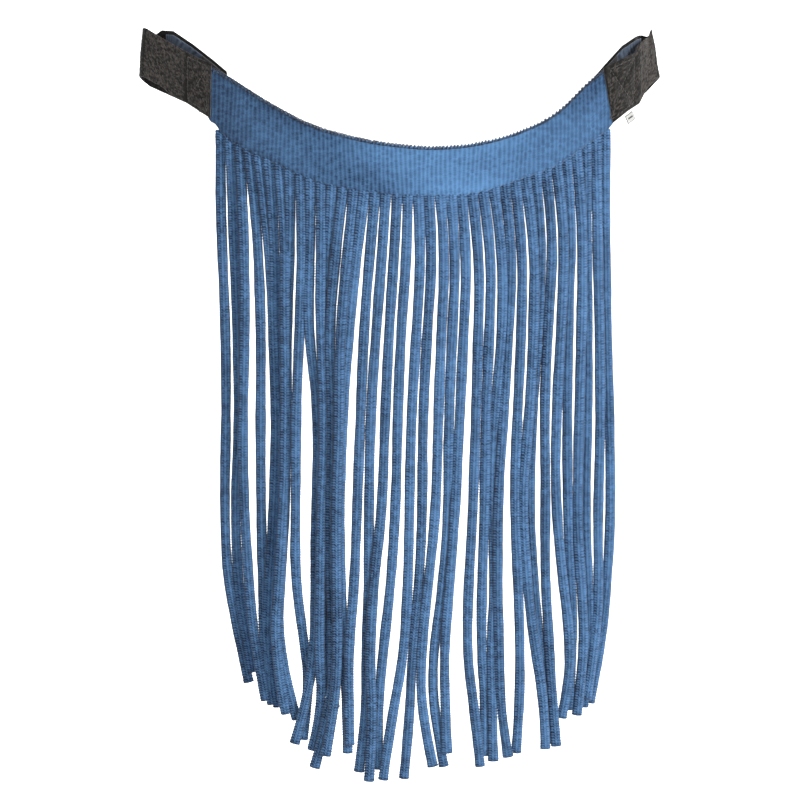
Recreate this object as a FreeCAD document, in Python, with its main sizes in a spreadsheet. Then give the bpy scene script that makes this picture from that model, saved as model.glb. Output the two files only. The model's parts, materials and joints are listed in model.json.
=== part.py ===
import FreeCAD, Part
import math
import os
import re

# A fly fringe for a horse's headcollar, in millimetres. A knitted band hangs in a shallow U across the
# forehead, 38 flat knitted cords hang from its lower edge, and a hook-and-loop strap at each end closes
# into a loop round a cheekpiece. +X runs along the band, -Y is the outside (away from the horse), +Z is
# up. The origin is the point midway between the two strap loops that the fringe hangs from.

V = FreeCAD.Vector
doc = FreeCAD.newDocument("fly_fringe")

# ---------------------------------------------------------------- driving dimensions
SHEET_VALUES = {
    "forehead_radius": 300.0,     # plan radius of the band's back face
    "band_half_width": 147.0,     # half the band's width between the straps' roots
    "band_front_y": -40.0,        # plan place of the band's back face at its middle
    "band_back": 0.0,             # layers are measured outwards from the band's back face
    "band_left": 162.0,           # the band reaches a little past the straps' roots
    "band_right": 157.0,
    "backing_rise": 2.0,          # the backing tape stops above the band's lower edge
    "knit_thick": 3.0,            # knitted band
    "backing_thick": 1.6,         # tape sewn along the band's back
    "pile_thick": 1.8,            # soft loop tape
    "hook_thick": 1.5,            # hook tape
    "strap_thick": 1.6,           # strap webbing
    "closure_gap": 0.3,           # clearance between hook and pile while closed
    "left_tail": 61.5,            # straight end of the left strap beyond the band's arc
    "right_bend_radius": 50.0,    # the right end turns further back
    "right_bend_turn": 18.7,      # degrees
    "right_tail": 29.0,
    "cord_diameter": 4.8,         # round stand-in for a soft flat cord about 8 mm wide
    "edge_height": 2.6,           # overlocked top edge
    "thread": 0.9,                # box stitching
    "label_width": 9.5,
    "label_length": 7.0,
    "label_thick": 0.6,
    "label_inset": 1.0,           # how far behind the strap the label is sewn
    "cutting_height": 400.0,      # taller and deeper than any piece that is cut from a layer
}

# Faces between the layers, worked out from the thicknesses.
SHEET_FORMULAS = {
    "backing_back": "=-backing_thick",
    "pile_back": "=backing_back - pile_thick",
    "hook_front": "=pile_back - closure_gap",
    "flap_front": "=hook_front - hook_thick",
    "flap_back": "=flap_front - strap_thick",
    "strap_front": "=knit_thick + strap_thick",
    "stitch_front": "=strap_front + thread / 2",
    "fold_radius": "=(knit_thick - flap_front) / 2",
}

sheet = doc.addObject("Spreadsheet::Sheet", "dimensions")
for row, (alias, value) in enumerate(list(SHEET_VALUES.items()) + list(SHEET_FORMULAS.items()), start=1):
    sheet.set("A%d" % row, alias)
    sheet.set("B%d" % row, str(value))
    sheet.setAlias("B%d" % row, alias)
doc.recompute()


def dim(alias):
    return float(sheet.get(alias))


RADIUS = dim("forehead_radius")
ARC_TURN = math.asin(dim("band_half_width") / RADIUS)
FOLD_MIDDLE = (dim("knit_thick") + dim("flap_front")) / 2

# ---------------------------------------------------------------- outlines seen from the front, as (x, z)
BAND_TOP = [(-165, 4), (-140, -10), (-110, -29), (-79, -45.5), (-45, -56), (-9, -62), (14, -63.5),
            (48, -60.5), (80, -51.5), (108, -37), (134, -12.5), (147, -3), (160, 0)]
BAND_BOTTOM = [(-165, -37), (-148.5, -46.5), (-141, -55), (-128, -64.5), (-103, -76), (-80, -87),
               (-50, -95), (-10, -99.5), (14, -100), (46, -98.5), (80, -88), (110, -76), (129, -62.5),
               (144, -52), (151, -46), (160, -39)]
LEFT_STRAP = [(-152.5, -3.5), (-207, 26.5), (-207, -13), (-186, -24), (-176, -30.5), (-152.5, -43.5)]
LEFT_FLAP = [(-139.5, -8), (-180, 22.5), (-189, 23), (-201, 10), (-201, -15.5), (-139.5, -46.5)]
LEFT_FOLD = [(-207, 26.5), (-200, 22.6), (-200, -16), (-207, -13)]
RIGHT_STRAP = [(146.5, -3), (158, 1.5), (167, 5.5), (171, 12), (179, 21), (188, 22), (188, -8),
               (175.5, -21), (170, -30), (162, -36.5), (150.5, -46)]
RIGHT_FLAP = [(135.5, -12.5), (146, 0), (157, 11), (167.5, 18), (179, 20), (179, -17.5), (170, -27),
              (150.5, -45), (135.5, -45)]
RIGHT_FOLD = [(178, 17), (188, 20), (188, -8), (178, -18)]
LEFT_PATCH = [(-141, -9.4), (-159.5, 4.6), (-159.5, -33.9), (-141, -43.3)]
RIGHT_PATCH = [(136.5, -13.8), (146, -2.5), (154, 5.5), (154, -39.3), (150.5, -42.5), (136.5, -42.5)]
LEFT_BOX = [(-155, -38.5), (-168.5, -31), (-168.5, 0.5), (-155, -7)]
RIGHT_BOX = [(153, -36.5), (165, -29), (165, 1.5), (153, -6)]
LABEL_EDGE = [(157.6, -40.8), (165, -34.8)]

# ---------------------------------------------------------------- cord routes
# One list for each cord, from the left: (sideways, behind its root, height) of each point. Every cord
# is limp, hangs free and keeps a lane of its own, so that it can swing past its neighbours. It swings
# about a line 3 mm above its first point.
CORD_ROUTES = [
    [(-144, 0, -56.3), (-144.5, 0.5, -92), (-143, -0.5, -138), (-140.5, 0, -200), (-140.5, 1, -266),
     (-141.5, 0.5, -328), (-140, -0.5, -380), (-136, 0, -424), (-132, 0.5, -463)],
    [(-137, 0, -62), (-135.5, 1, -100), (-133.5, 2, -148), (-131.5, 2.5, -210), (-132, 3, -276),
     (-133.5, 2, -336), (-131.5, 2.5, -388), (-129, 1.5, -426), (-127, 1, -456)],
    [(-129.5, 0, -67), (-128.5, -1, -104), (-126, -0.5, -152), (-125.5, 0, -214), (-126.5, -1, -282),
     (-126, 0, -342), (-124.5, -1, -394), (-122.5, -0.5, -438), (-119, 0.5, -476)],
    [(-122.5, 0, -70.5), (-119, 0.5, -106), (-116, -0.5, -150), (-114.5, 0.5, -208), (-115.5, -0.5, -274),
     (-115.5, 1, -338), (-116, 0, -394), (-116, 0.5, -440), (-113, -0.5, -481)],
    [(-115, 0, -73.5), (-112.5, 1.5, -108), (-109, 2.5, -150), (-107.5, 3, -212), (-108, 2.5, -280),
     (-109.5, 3, -344), (-110.5, 2, -398), (-110, 1.5, -438), (-108, 1, -471)],
    [(-107.5, 0, -77.5), (-104, 2, -124), (-102, 3, -182), (-101.5, 3.5, -250), (-103, 3, -318),
     (-104.5, 3.5, -378), (-104.5, 2.5, -434), (-102, 2, -484)],
    [(-99.5, 0, -81), (-97, -0.5, -126), (-96.5, -1, -186), (-96, 0, -254), (-97.5, -1, -322),
     (-99, -0.5, -382), (-98.5, 0.5, -438), (-95.5, 0, -489)],
    [(-92, 0, -85), (-91, 1.5, -130), (-91, 2.5, -190), (-90.5, 3, -258), (-92, 3, -326),
     (-93.5, 2, -386), (-92.5, 2.5, -442), (-90, 1.5, -493)],
    [(-84, 0, -88.5), (-83.5, -1, -132), (-84.5, -0.5, -192), (-84.5, 0.5, -260), (-86.5, -0.5, -328),
     (-87.5, 0.5, -384), (-84, -1, -434), (-83, -0.5, -474), (-85.5, 0, -508)],
    [(-76.5, 0, -90.5), (-77, 1, -136), (-79, 0.5, -198), (-76, -0.5, -264), (-76.5, 0.5, -330),
     (-77.5, 1, -388), (-76, 0, -440), (-77.5, -0.5, -480), (-79.5, 0.5, -511)],
    [(-68.5, 0, -93), (-70, -0.5, -140), (-72, -1, -200), (-69.5, 0.5, -266), (-71.5, -0.5, -334),
     (-71.5, -1, -392), (-70.5, 0, -442), (-72, 0.5, -482), (-73.5, -0.5, -516)],
    [(-60.5, 0, -95), (-64, 2, -140), (-66.5, 3, -198), (-63.5, 3, -262), (-65.5, 2.5, -326),
     (-66, 3, -386), (-65, 2, -438), (-66.5, 1, -484)],
    [(-52.5, 0, -97), (-57.5, -0.5, -142), (-60.5, 0.5, -202), (-58, -0.5, -268), (-60, 0.5, -334),
     (-60.5, -1, -392), (-59, 0, -442), (-60.5, -0.5, -486), (-69, 0.5, -529)],
    [(-44.5, 0, -98.5), (-50, 1, -146), (-55, 0, -206), (-52, 1, -272), (-54.5, -0.5, -338),
     (-55, 0.5, -396), (-53, 1, -444), (-53.5, 0, -484), (-59.5, -1, -520)],
    [(-36.5, 0, -99.5), (-42, -1, -144), (-46.5, -0.5, -202), (-46.5, 0.5, -268), (-49, -0.5, -334),
     (-49.5, -1, -392), (-47.5, 0.5, -440), (-47.5, 0, -482), (-51, 0.5, -518)],
    [(-28.5, 0, -100.5), (-32.5, 1.5, -142), (-37, 2, -198), (-40, 1.5, -264), (-42, 2.5, -330),
     (-43.5, 3, -390), (-42, 3, -440), (-41.5, 2, -480), (-44.5, 1, -512)],
    [(-20.5, 0, -101.5), (-23, -0.5, -142), (-27.5, 0.5, -198), (-32, 0, -264), (-33, -1, -330),
     (-34, -0.5, -390), (-36.5, 0.5, -442), (-35.5, -0.5, -490), (-39.5, 0.5, -532)],
    [(-12, 0, -102.5), (-14, 0.5, -146), (-18, -0.5, -202), (-21, 0.5, -268), (-23, -1, -334),
     (-28.5, 0, -392), (-31, 0.5, -446), (-30, -0.5, -496), (-33, 0, -539)],
    [(-4, 0, -103), (-5, 1.5, -142), (-9, 2, -198), (-12, 2.5, -264), (-13.5, 2, -330), (-17, 3, -390),
     (-22.5, 3, -442), (-23.5, 2, -488), (-26, 1, -529)],
    [(4, 0, -103), (6, -1, -142), (2.5, -0.5, -200), (-1.5, 0.5, -268), (-2.5, -1, -334), (-4, 0, -392),
     (-9.5, -0.5, -446), (-16.5, 0.5, -494), (-20, -0.5, -538)],
    [(12, 0, -103.5), (15, 0.5, -144), (10.5, -0.5, -204), (7, 0.5, -272), (6.5, -0.5, -338),
     (4, 0.5, -396), (-0.5, 1, -448), (-2, -0.5, -494), (-7, 0.5, -536)],
    [(20.5, 0, -103), (24.5, -0.5, -144), (21, 0.5, -204), (18.5, 1, -272), (17, -0.5, -338),
     (11, 0.5, -394), (6, -0.5, -444), (7, 0.5, -488), (13.5, 0, -527)],
    [(28.5, 0, -102.5), (32.5, 1, -144), (29, 0, -204), (26.5, -1, -272), (26, 0.5, -336),
     (21.5, -0.5, -392), (15, 0.5, -442), (16, -0.5, -486), (22, 0.5, -526)],
    [(36.5, 0, -102), (41, 1.5, -146), (37.5, 2.5, -206), (34.5, 2.5, -272), (32, 3, -336),
     (28, 2.5, -390), (23.5, 3, -440), (25, 2, -482), (28, 1, -517)],
    [(44.5, 0, -101.5), (50, -0.5, -146), (49, 0.5, -208), (46.5, -0.5, -274), (44.5, 0.5, -338),
     (41, -1, -394), (41, 0, -444), (45.5, -0.5, -488), (48, 0.5, -527)],
    [(52.5, 0, -99), (58.5, 1.5, -142), (57.5, 2.5, -202), (54, 3, -268), (53, 2, -332), (51.5, 3, -390),
     (51.5, 2.5, -440), (54, 2, -484), (54.5, 1, -520)],
    [(60.5, 0, -96.5), (67, 0.5, -140), (66, -0.5, -198), (61, 0.5, -262), (59, -0.5, -326),
     (60, 0.5, -386), (58.5, -1, -438), (60.5, 0, -484), (60.5, 0.5, -523)],
    [(68.5, 0, -94.5), (74.5, -0.5, -138), (72.5, -1, -196), (68, 0, -260), (65, -1, -326),
     (66, -0.5, -386), (65, 0.5, -438), (67.5, -0.5, -484), (70.5, 0.5, -521)],
    [(76.5, 0, -92), (82, 0.5, -136), (81, -0.5, -196), (77.5, 0.5, -262), (75.5, 0, -328),
     (79, -0.5, -388), (80.5, 0.5, -438), (79.5, -0.5, -480), (77.5, 0.5, -517)],
    [(84, 0, -89), (90.5, -0.5, -132), (88.5, 0.5, -192), (85, -0.5, -258), (81.5, 0.5, -324),
     (85, -1, -384), (90.5, 0, -436), (93, -0.5, -478), (96, 0.5, -514)],
    [(92, 0, -86), (96.5, 1.5, -130), (94.5, 2.5, -190), (90.5, 3, -256), (87.5, 2, -322), (91, 3, -384),
     (96.5, 2, -436), (98.5, 1.5, -476), (101.5, 1, -510)],
    [(99.5, 0, -83), (105.5, 0.5, -128), (101.5, -0.5, -188), (98, 0.5, -254), (98.5, -0.5, -320),
     (99, 0.5, -382), (102.5, -0.5, -434), (104.5, 0.5, -476), (107.5, 0, -512)],
    [(107.5, 0, -80), (113, -1, -126), (111, 0, -186), (107, -1, -252), (106.5, 0, -318),
     (110.5, -0.5, -378), (115, 0.5, -428), (113, 0, -464), (111.5, -0.5, -492)],
    [(115, 0, -75.5), (119, 1.5, -122), (117, 2.5, -182), (115, 3, -248), (115.5, 2, -314),
     (117.5, 3, -374), (120.5, 2, -428), (118.5, 1.5, -480)],
    [(122.5, 0, -70.2), (125.5, -0.5, -112), (126, 0.5, -166), (125.5, -0.5, -228), (123.5, 0, -292),
     (122.5, -1, -352), (125.5, 0.5, -404), (127, 0, -446), (124, -0.5, -482)],
    [(129.5, 0, -65), (131.5, 1.5, -106), (131.5, 2.5, -160), (131.5, 3, -224), (130, 3, -290),
     (128.5, 2, -350), (131.5, 3, -404), (133, 2, -446), (129.5, 1.5, -482)],
    [(137, 0, -60.3), (137.5, -0.5, -102), (139, 0.5, -156), (140, -0.5, -218), (139.5, 0, -284),
     (138, -0.5, -344), (139.5, 0.5, -398), (139, -0.5, -442), (135.5, 0, -478)],
    [(144, 0, -55.7), (144.5, 0.5, -98), (145, -0.5, -152), (146.5, 0, -214), (148, 1, -280),
     (147.5, -0.5, -342), (145.5, 0.5, -396), (145, 0, -440), (141.5, -0.5, -479)],
]


# ---------------------------------------------------------------- plan path of the band and its ends
def plan_segments(side):
    """Pieces of the plan path from the middle outwards: (length, turn per millimetre)."""
    pieces = [(RADIUS * ARC_TURN, 1 / RADIUS)]
    if side < 0:
        pieces.append((dim("left_tail"), 0.0))
    else:
        bend = dim("right_bend_radius")
        pieces.append((bend * math.radians(dim("right_bend_turn")), 1 / bend))
        pieces.append((dim("right_tail"), 0.0))
    return pieces


def path_length(side):
    return sum(length for length, _ in plan_segments(side))


def plan_point(side, reach, offset):
    """The point at a reach along one side's path, offset outwards from the band's back face."""
    along, back, heading = 0.0, dim("band_front_y"), 0.0
    for length, turn in plan_segments(side):
        step = min(reach, length)
        if turn:
            along += (math.sin(heading + step * turn) - math.sin(heading)) / turn
            back += (math.cos(heading) - math.cos(heading + step * turn)) / turn
            heading += step * turn
        else:
            along += step * math.cos(heading)
            back += step * math.sin(heading)
        reach -= step
        if reach <= 1e-9:
            break
    return V(side * (along + offset * math.sin(heading)), back - offset * math.cos(heading), 0)


def path_turn(side):
    """The heading at the end of one side's path, in degrees."""
    return math.degrees(sum(length * turn for length, turn in plan_segments(side)))


def reach_at(side, across):
    """How far along a side's path a given sideways distance lies, at the band's back face."""
    low, high = 0.0, path_length(side)
    for _ in range(50):
        middle = (low + high) / 2
        if abs(plan_point(side, middle, 0).x) < across:
            low = middle
        else:
            high = middle
    return low


# ---------------------------------------------------------------- building blocks
def bind(item, **sizes):
    """Ties an object's sizes to the sheet, where a word such as knit_thick is a cell's alias."""
    for name, formula in sizes.items():
        for alias in sorted(list(SHEET_VALUES) + list(SHEET_FORMULAS), key=len, reverse=True):
            formula = re.sub(r"(?<![.\w])%s(?!\w)" % alias, "dimensions." + alias, formula)
        item.setExpression(name, formula)
    return item


def place(item, base, turn=0.0, axis=V(0, 0, 1)):
    item.Placement = FreeCAD.Placement(base, FreeCAD.Rotation(axis, turn))
    return item


def lowered(point):
    """The same plan point at the foot of the tall layers."""
    return V(point.x, point.y, -dim("cutting_height") / 2)


def joined(kind, name, first, second):
    item = doc.addObject(kind, name)
    item.Base = first
    item.Tool = second
    return item


def ring(name, centre, start, turn, inner, outer):
    """An upright piece of a ring between two radii, from a start angle through a turn."""
    sectors = []
    for word, radius in (("outer", outer), ("inner", inner)):
        sector = doc.addObject("Part::Cylinder", "%s_%s" % (name, word))
        bind(sector, Radius=radius, Angle=turn, Height="cutting_height")
        sectors.append(place(sector, lowered(centre), start))
    return joined("Part::Cut", name, *sectors)


def tail(name, side, back, front, length):
    """The straight end of a layer."""
    slab = doc.addObject("Part::Box", name)
    bind(slab, Length=length, Width="%s - %s" % (front, back), Height="cutting_height")
    reach = path_length(side) - dim(length)
    corner = plan_point(side, reach, dim(front if side > 0 else back))
    return place(slab, lowered(corner), path_turn(side) if side > 0 else 180 - path_turn(side))


def layer(name, back, front):
    """A tall wall along the whole plan path, between two of the sheet's faces."""
    arc_turn = math.degrees(ARC_TURN)
    centre = V(0, dim("band_front_y") + RADIUS, 0)
    bend_centre = plan_point(1, RADIUS * ARC_TURN, -dim("right_bend_radius"))
    wall = doc.addObject("Part::MultiFuse", name)
    wall.Shapes = [
        ring(name + "_arc", centre, -90 - arc_turn, "2 * asin(band_half_width / forehead_radius)",
             "forehead_radius + " + back, "forehead_radius + " + front),
        ring(name + "_bend", bend_centre, arc_turn - 90, "right_bend_turn",
             "right_bend_radius + " + back, "right_bend_radius + " + front),
        tail(name + "_left_tail", -1, back, front, "left_tail"),
        tail(name + "_right_tail", 1, back, front, "right_tail"),
    ]
    wall.Refine = True
    return wall


def front_sketch(name, curves):
    """A sketch on the upright plane through the origin, seen from the front."""
    sketch = doc.addObject("Sketcher::SketchObject", name)
    for curve in curves:
        sketch.addGeometry(curve, False)
    return place(sketch, V(0, 0, 0), 90, V(1, 0, 0))


def prism(name, curves):
    """A block through the whole depth with an outline seen from the front."""
    block = doc.addObject("Part::Extrusion", name)
    block.Base = front_sketch(name + "_outline", curves)
    block.DirMode = "Normal"
    block.Solid = True
    block.Symmetric = True
    return bind(block, LengthFwd="cutting_height")


def polygon(points):
    corners = [V(x, z, 0) for x, z in points]
    return [Part.LineSegment(a, b) for a, b in zip(corners, corners[1:] + corners[:1])]


def between(top, bottom):
    """A closed outline between two smooth edges, joined by straight ends."""
    curves = []
    for points in (top, bottom):
        curve = Part.BSplineCurve()
        curve.interpolate([V(x, z, 0) for x, z in points])
        curves.append(curve)
    upper, lower = curves
    curves.append(Part.LineSegment(upper.StartPoint, lower.StartPoint))
    curves.append(Part.LineSegment(upper.EndPoint, lower.EndPoint))
    return curves


def shifted(points, rise):
    return [(x, z + rise) for x, z in points]


parts = []


def keep(item, name):
    """Names a finished piece and puts it on the list of parts."""
    item.Label = name
    parts.append(item)
    return item


def cut_from(wall, name, curves):
    """A piece of a layer inside an outline seen from the front."""
    return joined("Part::Common", name, wall, prism(name + "_prism", curves))


# ---------------------------------------------------------------- band
span = doc.addObject("Part::Box", "band_span")
bind(span, Length="band_left + band_right", Width="cutting_height", Height="cutting_height")
place(span, lowered(V(-dim("band_left"), -dim("cutting_height") / 2, 0)))


def band_part(name, back, front, top, bottom):
    wall = layer(name + "_wall", back, front)
    keep(joined("Part::Common", name, cut_from(wall, name + "_sheet", between(top, bottom)), span), name)


HEADER_TOP = shifted(BAND_TOP, -dim("edge_height"))
band_part("header_band", "band_back", "knit_thick", HEADER_TOP, BAND_BOTTOM)
band_part("backing_tape", "backing_back", "band_back", HEADER_TOP, shifted(BAND_BOTTOM, dim("backing_rise")))
band_part("top_edge_overlock", "backing_back", "knit_thick", BAND_TOP, HEADER_TOP)

# ---------------------------------------------------------------- straps
strap_wall = layer("strap_wall", "knit_thick", "strap_front")
flap_wall = layer("flap_wall", "flap_back", "flap_front")
hook_wall = layer("hook_wall", "flap_front", "hook_front")
pile_wall = layer("pile_wall", "pile_back", "backing_back")
stitch_wall = layer("stitch_wall", "strap_front", "stitch_front")


def strap_fold(name, side, outline):
    """The half ring of webbing that joins the strap's front ply to its flap."""
    centre = plan_point(side, path_length(side), FOLD_MIDDLE)
    start = path_turn(side) - 90 if side > 0 else 90 - path_turn(side)
    half_ring = ring(name + "_ring", centre, start, "180", "fold_radius", "fold_radius + strap_thick")
    keep(cut_from(half_ring, name, polygon(outline)), name)


def seam(name, start, end):
    """A narrow bar through the whole depth, along a seam seen from the front."""
    along = end - start
    length = along.Length
    along.normalize()
    across = V(-along.z, 0, along.x)
    bar = doc.addObject("Part::Box", name)
    bind(bar, Length="%.3f + thread" % length, Width="cutting_height", Height="thread")
    corner = start - (along + across) * (dim("thread") / 2) - V(0, dim("cutting_height") / 2, 0)
    return place(bar, corner, -math.degrees(math.atan2(along.z, along.x)), V(0, 1, 0))


def box_stitch(name, corners):
    """A sewn box with a cross in it, as threads lying on the strap's front face."""
    points = [V(x, 0, z) for x, z in corners]
    seams = [(0, 1), (1, 2), (2, 3), (3, 0), (0, 2), (1, 3)]
    bars = doc.addObject("Part::MultiFuse", name + "_bars")
    bars.Shapes = [seam("%s_seam_%d%d" % (name, a, b), points[a], points[b]) for a, b in seams]
    keep(joined("Part::Common", name, stitch_wall, bars), name)


def build_side(word, side, strap, flap, fold, patch, box):
    keep(cut_from(strap_wall, "strap_front_" + word, polygon(strap)), "strap_front_" + word)
    strap_fold("strap_fold_" + word, side, fold)
    keep(cut_from(flap_wall, "strap_flap_" + word, polygon(flap)), "strap_flap_" + word)
    keep(cut_from(hook_wall, "hook_patch_" + word, polygon(patch)), "hook_patch_" + word)
    keep(cut_from(pile_wall, "pile_patch_" + word, polygon(patch)), "pile_patch_" + word)
    box_stitch("box_stitch_" + word, box)


build_side("left", -1, LEFT_STRAP, LEFT_FLAP, LEFT_FOLD, LEFT_PATCH, LEFT_BOX)
build_side("right", 1, RIGHT_STRAP, RIGHT_FLAP, RIGHT_FOLD, RIGHT_PATCH, RIGHT_BOX)


# ---------------------------------------------------------------- care label
def build_label():
    """A small slab sewn along the right strap's lower edge, square to that edge."""
    offset = dim("knit_thick") - dim("label_inset")
    ends = [plan_point(1, reach_at(1, x), offset) + V(0, 0, z) for x, z in LABEL_EDGE]
    along = (ends[1] - ends[0]).normalize()
    through = V(-along.y, along.x, 0).normalize()
    up = along.cross(through)
    label = doc.addObject("Part::Box", "care_label")
    bind(label, Length="label_width", Width="label_thick", Height="label_length")
    label.Placement = FreeCAD.Placement(ends[0] - up * dim("label_length"),
                                        FreeCAD.Rotation(along, through, up, "ZXY"))
    keep(label, "care_label")


build_label()


# ---------------------------------------------------------------- cords
def tube_path(points):
    """Straight runs joined by tangent arcs, each as large as its two runs allow."""
    edges = []
    radii = []
    start = points[0]
    for before, corner, after in zip(points, points[1:], points[2:]):
        inward, outward = (corner - before).normalize(), (after - corner).normalize()
        turn = math.acos(max(-1.0, min(1.0, inward.dot(outward))))
        trim = 0.45 * min(corner.distanceToPoint(before), corner.distanceToPoint(after))
        radius = trim / math.tan(turn / 2)
        radii.append(radius)
        first, last = corner - inward * trim, corner + outward * trim
        bisector = (outward - inward).normalize()
        middle = corner + bisector * (radius / math.cos(turn / 2) - radius)
        edges.append(Part.LineSegment(start, first).toShape())
        edges.append(Part.Arc(first, middle, last).toShape())
        start = last
    edges.append(Part.LineSegment(start, points[-1]).toShape())
    return Part.Wire(edges), radii


def cord_points(route):
    across = route[0][0]
    root_y = cord_root(across)
    return [V(x, root_y + back, z) for x, back, z in route]


def cord_root(across):
    """Plan place of the middle of the knit above a cord."""
    middle = RADIUS + dim("knit_thick") / 2
    return dim("band_front_y") + RADIUS - math.sqrt(middle * middle - across * across)


def build_cord(number, route):
    """A round tube swept along the cord's path."""
    points = cord_points(route)
    wire, radii = tube_path(points)
    name = "fringe_cord_%02d" % number
    path = doc.addObject("Part::Feature", name + "_path")
    path.Shape = wire
    section = doc.addObject("Part::Circle", name + "_section")
    bind(section, Radius="cord_diameter / 2")
    section.Placement = FreeCAD.Placement(points[0], FreeCAD.Rotation(V(0, 0, 1), points[1] - points[0]))
    tube = doc.addObject("Part::Sweep", name)
    tube.Sections = [section]
    tube.Spine = (path, ["Edge%d" % (k + 1) for k in range(len(wire.Edges))])
    tube.Solid = True
    tube.Frenet = False
    keep(tube, name)
    return wire.Length, min(radii)


cord_lengths = {}
for number, route in enumerate(CORD_ROUTES, start=1):
    length, tightest = build_cord(number, route)
    cord_lengths["fringe_cord_%02d" % number] = length
    print("fringe_cord_%02d: length %.0f, tightest radius %.0f" % (number, length, tightest))

# ---------------------------------------------------------------- checks and files
doc.recompute()
for item in doc.Objects:
    if "Invalid" in item.State or "Error" in item.State:
        raise ValueError("%s failed: %s" % (item.Name, item.State))
for piece in parts:
    if piece.Shape.isNull() or not piece.Shape.isValid():
        raise ValueError("%s has no valid shape" % piece.Label)
    if len(piece.Shape.Solids) != 1:
        raise ValueError("%s has %d solids" % (piece.Label, len(piece.Shape.Solids)))
    if piece.Label in cord_lengths:
        expected = math.pi * dim("cord_diameter") ** 2 / 4 * cord_lengths[piece.Label]
        if abs(piece.Shape.Volume - expected) > 0.005 * expected:
            raise ValueError("%s has volume %.0f, expected %.0f"
                             % (piece.Label, piece.Shape.Volume, expected))

os.makedirs("parts", exist_ok=True)
for piece in parts:
    piece.Shape.Solids[0].exportStep("parts/%s.step" % piece.Label)
print("wrote %d parts" % len(parts))
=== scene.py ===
import json
import math
import random

import bpy
import numpy as np
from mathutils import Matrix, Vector


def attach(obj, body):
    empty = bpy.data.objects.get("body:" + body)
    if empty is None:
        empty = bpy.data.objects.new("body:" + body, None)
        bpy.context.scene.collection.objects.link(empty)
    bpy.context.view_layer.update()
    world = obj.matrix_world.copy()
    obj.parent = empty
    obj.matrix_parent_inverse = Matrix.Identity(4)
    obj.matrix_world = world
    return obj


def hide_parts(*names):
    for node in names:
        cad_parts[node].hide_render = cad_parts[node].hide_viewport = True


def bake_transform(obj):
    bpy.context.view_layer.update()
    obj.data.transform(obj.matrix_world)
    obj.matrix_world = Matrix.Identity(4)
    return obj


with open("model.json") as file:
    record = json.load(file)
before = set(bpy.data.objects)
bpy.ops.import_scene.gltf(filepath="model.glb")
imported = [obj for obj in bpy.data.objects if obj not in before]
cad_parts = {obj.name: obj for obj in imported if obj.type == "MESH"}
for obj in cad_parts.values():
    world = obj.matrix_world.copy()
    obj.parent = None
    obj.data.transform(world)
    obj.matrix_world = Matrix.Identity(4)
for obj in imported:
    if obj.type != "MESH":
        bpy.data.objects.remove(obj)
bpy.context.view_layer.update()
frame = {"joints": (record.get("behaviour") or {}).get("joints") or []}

# A fly fringe: a knitted browband with 38 flat knitted cords and a hook-and-loop strap at each end.
# Metres throughout. +X runs along the band, -Y is the outside, +Z is up.

# ---------------------------------------------------------------- sizes
FOREHEAD_RADIUS = 0.300
BAND_HALF_WIDTH = 0.147
BAND_FRONT_Y = -0.040
LEFT_TAIL = 0.0615
RIGHT_BEND_RADIUS = 0.050
RIGHT_BEND_TURN = math.radians(18.7)
RIGHT_TAIL = 0.029
KNIT = 0.003
BACKING = 0.0016
PILE_BACK = -0.0034
HOOK_FRONT = -0.0037
FLAP_FRONT = -0.0052
STRAP = 0.0016

# Outlines seen from the front, as (x, z).
BAND_TOP = [(-0.165, 0.004), (-0.140, -0.010), (-0.110, -0.029), (-0.079, -0.0455), (-0.045, -0.056),
            (-0.009, -0.062), (0.014, -0.0635), (0.048, -0.0605), (0.080, -0.0515), (0.108, -0.037),
            (0.134, -0.0125), (0.147, -0.003), (0.160, 0.0)]
BAND_BOTTOM = [(-0.165, -0.037), (-0.1485, -0.0465), (-0.141, -0.055), (-0.128, -0.0645),
               (-0.103, -0.076), (-0.080, -0.087), (-0.050, -0.095), (-0.010, -0.0995), (0.014, -0.100),
               (0.046, -0.0985), (0.080, -0.088), (0.110, -0.076), (0.129, -0.0625), (0.144, -0.052),
               (0.151, -0.046), (0.160, -0.039)]

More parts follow.
